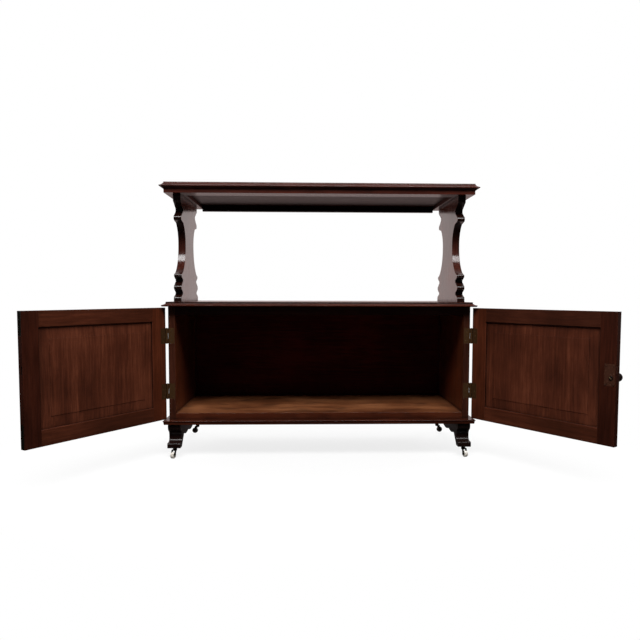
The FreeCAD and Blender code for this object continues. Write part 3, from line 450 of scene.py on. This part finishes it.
# Sizes of the slots, the screw heads, the spindle's end and the filler of painted shade beside the knuckles
SLOT_WIDTH = 0.8 * MM
HINGE_SLOT = 4.4 * MM
LOCK_SLOT = 4.2 * MM
SLOT_LIFTS = (-0.1 * MM, 0.06 * MM)
HEAD_RADIUS = 2.8 * MM
HEAD_HEIGHT = 0.9 * MM
SPINDLE_LENGTH = 8.5 * MM
SPINDLE_WIDTH = 3 * MM
CRACK_SHADE_STEP = 2.05 * MM
CRACK_SHADE_ROOT = -0.3 * MM
CRACK_SHADE_DEPTHS = (0.2 * MM, 0.45 * MM, 0.9 * MM, 1.3 * MM)


def new_piece(name, shape, body, look):
    """A mesh made in bmesh becomes a piece that rides on a body."""
    bmesh.ops.recalc_face_normals(shape, faces=shape.faces)
    mesh = bpy.data.meshes.new(name)
    shape.to_mesh(mesh)
    shape.free()
    mesh.materials.append(look)
    item = bpy.data.objects.new(name, mesh)
    bpy.context.scene.collection.objects.link(item)
    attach(item, body)


def add_prism(shape, rims):
    """Joins rings of points to a closed body."""
    rings = [[shape.verts.new(point) for point in rim] for rim in rims]
    count = len(rings[0])
    for low, high in zip(rings, rings[1:]):
        for index in range(count):
            after = (index + 1) % count
            shape.faces.new((low[index], low[after], high[after], high[index]))
    shape.faces.new(rings[0])
    shape.faces.new(rings[-1])


def add_slot(shape, middle, along, out, length, width=SLOT_WIDTH):
    """A thin strip with round ends on a flat head, as its slot."""
    side = out.cross(along)
    rim = []
    for end in (1, -1):
        for step in range(7):
            angle = math.radians(step * 30 - 90)
            reach = end * ((length - width) / 2 + math.cos(angle) * width / 2)
            rim.append(middle + along * reach + side * (end * math.sin(angle) * width / 2))
    add_prism(shape, [[point + out * lift for point in rim] for lift in SLOT_LIFTS])


def add_head(shape, middle, along, out):
    """A round screw head with a softened rim."""
    side = out.cross(along)
    turns = [step * math.tau / 24 for step in range(24)]
    rims = []
    for share, lift in ((1.0, -0.1), (1.0, 0.6), (0.93, 0.87), (0.8, 1.0)):
        rims.append([middle + out * (lift * HEAD_HEIGHT)
                     + (along * math.cos(turn) + side * math.sin(turn)) * (HEAD_RADIUS * share)
                     for turn in turns])
    add_prism(shape, rims)


def add_crack_shade(shape, side, height):
    """A dark filler between the case and the middle knuckle of a hinge, clear of the knuckle: painted shade
    in the crack there.
    """
    front, swell, sink, rear = CRACK_SHADE_DEPTHS
    rims = []
    for step in range(9):
        lift = (step - 4) * CRACK_SHADE_STEP
        bulge = (0.42 + 0.1 * math.sin(step * 2.3)) * MM
        outline = ((CRACK_SHADE_ROOT, front), (bulge * 0.7, front), (bulge, swell), (bulge, sink),
                   (bulge * 0.7, rear), (CRACK_SHADE_ROOT, rear))
        rims.append([Vector((side * (CASE_EDGE + across), depth, height + lift))
                     for across, depth in outline])
    add_prism(shape, rims)


def tilted(flat, degrees):
    """A direction in a vertical plane, turned up from its level direction."""
    angle = math.radians(degrees)
    return flat * math.cos(angle) + Vector(UP) * math.sin(angle)


def screw_heights():
    """The heights of the three screws of each hinge, from the floor."""
    for middle in HINGE_MIDDLES:
        for step in (-1, 0, 1):
            yield middle + step * SCREW_PITCH


def add_case_fittings():
    """The slots of the screws on the case, each at an angle of its own, and the painted shade in the cracks
    beside the hinges.
    """
    slots = bmesh.new()
    painted_shade = bmesh.new()
    for side in DOOR_SIDES.values():
        for number, height in enumerate(screw_heights()):
            along = tilted(Vector(RIGHT), 35 + 53 * number * side)
            add_slot(slots, Vector((side * CASE_SCREW, 0, height)), along, Vector(FORWARD), HINGE_SLOT)
        for height in HINGE_MIDDLES:
            add_crack_shade(painted_shade, side, height)
    new_piece("case_screw_slots", slots, "cabinet", slot_black)
    new_piece("case_hinge_crack_shade", painted_shade, "cabinet", slot_black)


def add_door_fittings(door, side):
    """The slots of a door's screws and, on the right door, the lock's screws and the spindle's end."""
    hinge = Vector(joints[f"{door}_swing"]["pos_m"])
    hinge.z = 0
    reach = Vector((-side * math.cos(DOOR_TURN), -math.sin(DOOR_TURN), 0))
    out = Vector((-side * math.sin(DOOR_TURN), math.cos(DOOR_TURN), 0))

    def spot(along, height, lift=0.0):
        """A point on the open door."""
        return hinge + reach * along + out * lift + Vector(UP) * height

    slots = bmesh.new()
    for number, height in enumerate(screw_heights()):
        middle = spot(DOOR_SCREW, height, -SCREW_DEPTH)
        add_slot(slots, middle, tilted(reach, 20 + 67 * number), out, HINGE_SLOT)
    if side > 0:
        heads = bmesh.new()
        for number, (across, rise) in enumerate(((-1, -1), (-1, 1), (1, -1), (1, 1))):
            place = (LOCK_ALONG + across * LOCK_SCREWS[0], LOCK_HEIGHT + rise * LOCK_SCREWS[1])
            add_head(heads, spot(*place), reach, out)
            add_slot(slots, spot(*place, HEAD_HEIGHT), tilted(reach, 30 + 41 * number), out, LOCK_SLOT)
        new_piece("lock_case_screws", heads, door, lock_brass)
        spindle = bmesh.new()
        add_slot(spindle, spot(NUT_ALONG, NUT_HEIGHT, NUT_PROUD), tilted(reach, -40), out, SPINDLE_LENGTH,
                 SPINDLE_WIDTH)
        new_piece("spindle_end", spindle, "knob", spindle_brass)
    new_piece(f"{door}_screw_slots", slots, door, slot_black)


add_case_fittings()
for door, side in DOOR_SIDES.items():
    add_door_fittings(door, side)


# Studio

WHITE = (1, 1, 1, 1)
GROUND_REACH = 12.0
GROUND_PAINT = (0.86, 0.86, 0.86, 1)
GROUND_BOUNCE = tone(98, 98, 98)
SHEEN_NEAR, SHEEN_FAR = tone(36, 34, 33), tone(172, 152, 149)
BACKDROP = tone(255, 242, 240)

# Each lamp's name, place, target, size and power, and whether polish mirrors it
LAMPS = (
    ("key", (0.0, -1.88, 3.0), (0.0, 0.0, 0.45), (2.6, 1.2), 160, True),
    ("rear", (0.0, 2.7, 2.0), (0.0, 0.4, 0.5), (2.6, 1.4), 80, False),
    ("side_-1", (-2.6, 1.5, 0.9), (0.0, 0.2, 0.5), (1.6, 0.8), 40, False),
    ("side_1", (2.6, 1.5, 0.9), (0.0, 0.2, 0.5), (1.6, 0.8), 40, False),
)

# The camera fitted to the photograph: metres, degrees and pixels
CAMERA_PLACE = (-0.04833, -2.17165, 0.57060)
CAMERA_YAW, CAMERA_PITCH, CAMERA_ROLL = (math.radians(angle) for angle in (-1.73, -3.75, -0.12))
SENSOR_WIDTH = 36.0
IMAGE_SIDE = 640
FOCAL_PIXELS = 625.78
PRINCIPAL_POINT = (325.14, 334.86)


def add_floor():
    """A pale floor; it keeps a light shadow near the piece and runs into the white background."""
    mesh = bpy.data.meshes.new("floor")
    reach = GROUND_REACH
    corners = [(-reach, -reach, 0), (reach, -reach, 0), (reach, reach, 0), (-reach, reach, 0)]
    mesh.from_pydata(corners, [], [(0, 1, 2, 3)])
    floor = bpy.data.objects.new("floor", mesh)
    bpy.context.scene.collection.objects.link(floor)
    shader = new_shader("floor")
    shader.tree.nodes.remove(shader.tree.nodes["Principled BSDF"])
    place = shader.coordinates()["Object"]
    depth = shader.add("SeparateXYZ", {"Vector": place}).outputs["Y"]
    distance = shader.vector("LENGTH", shader.vector("MULTIPLY", place, (0.75, 1.0, 0.0)))
    paths = shader.add("LightPath", {}).outputs
    shadow_share = shader.spread(distance, 0.35, 0.9, 0.18, 0.0)
    glow = shader.add("Emission", {"Color": WHITE, "Strength": 1.0}).outputs[0]
    paint = shader.add("BsdfDiffuse", {"Color": GROUND_PAINT}).outputs[0]
    sheen = shader.mix(shader.spread(depth, -0.3, 1.5), SHEEN_NEAR, SHEEN_FAR)
    mirrored = shader.add("Emission", {"Color": sheen, "Strength": 1.0}).outputs[0]
    dull = shader.add("BsdfDiffuse", {"Color": GROUND_BOUNCE}).outputs[0]
    bounce = shader.add("MixShader", {0: paths["Is Glossy Ray"], 1: dull, 2: mirrored}).outputs[0]
    seen = shader.add("MixShader", {0: shadow_share, 1: glow, 2: paint}).outputs[0]
    whole = shader.add("MixShader", {0: paths["Is Camera Ray"], 1: bounce, 2: seen}).outputs[0]
    shader.feed(shader.tree.nodes["Material Output"].inputs["Surface"], whole)
    mesh.materials.append(shader.owner)


def add_world():
    """White where it is seen; polish mirrors a white backdrop behind and a dim room in front."""
    world = bpy.data.worlds.new("studio")
    bpy.context.scene.world = world
    shader = Shader(world)
    shader.tree.nodes.clear()
    paths = shader.add("LightPath", {}).outputs
    way = shader.add("SeparateXYZ", {"Vector": shader.coordinates()["Generated"]}).outputs
    backdrop = shader.spread(way["Y"], 0.0, 0.5, 0.03, 0.74)
    glimmer = shader.spread(way["Y"], -0.2, 0.5, 0.08, 0.4)
    fill = shader.add("Background", {"Color": WHITE, "Strength": glimmer}).outputs[0]
    mirrored = shader.add("Background", {"Color": BACKDROP, "Strength": backdrop}).outputs[0]
    white = shader.add("Background", {"Color": WHITE, "Strength": 1.0}).outputs[0]
    lit = shader.add("MixShader", {0: paths["Is Glossy Ray"], 1: fill, 2: mirrored}).outputs[0]
    seen = shader.math("MAXIMUM", paths["Is Camera Ray"], paths["Is Transmission Ray"])
    whole = shader.add("MixShader", {0: seen, 1: lit, 2: white}).outputs[0]
    output = shader.add("OutputWorld", {})
    shader.feed(output.inputs["Surface"], whole)


def add_softbox(name, place, target, size, power, mirrored):
    """An area lamp that faces its target."""
    light = bpy.data.lights.new(name, "AREA")
    light.shape = "RECTANGLE"
    light.size, light.size_y = size
    light.energy = power
    lamp = bpy.data.objects.new(name, light)
    lamp.location = place
    lamp.visible_glossy = mirrored
    lamp.rotation_euler = (Vector(target) - Vector(place)).to_track_quat("-Z", "Y").to_euler()
    bpy.context.scene.collection.objects.link(lamp)


def add_camera():
    """The photograph's view, with its principal point off the middle of the picture."""
    data = bpy.data.cameras.new("camera")
    data.sensor_width = SENSOR_WIDTH
    data.lens = FOCAL_PIXELS / IMAGE_SIDE * SENSOR_WIDTH
    data.shift_x = 0.5 - PRINCIPAL_POINT[0] / IMAGE_SIDE
    data.shift_y = PRINCIPAL_POINT[1] / IMAGE_SIDE - 0.5
    camera = bpy.data.objects.new("camera", data)
    camera.matrix_world = (
        Matrix.Translation(CAMERA_PLACE)
        @ Matrix.Rotation(CAMERA_YAW, 4, "Z")
        @ Matrix.Rotation(CAMERA_PITCH, 4, "X")
        @ Matrix.Rotation(CAMERA_ROLL, 4, "Y")
        @ Matrix.Rotation(math.pi / 2, 4, "X")
    )
    bpy.context.scene.collection.objects.link(camera)
    bpy.context.scene.camera = camera


add_floor()
add_world()
for lamp in LAMPS:
    add_softbox(*lamp)
add_camera()
bpy.context.scene.view_settings.view_transform = "Standard"
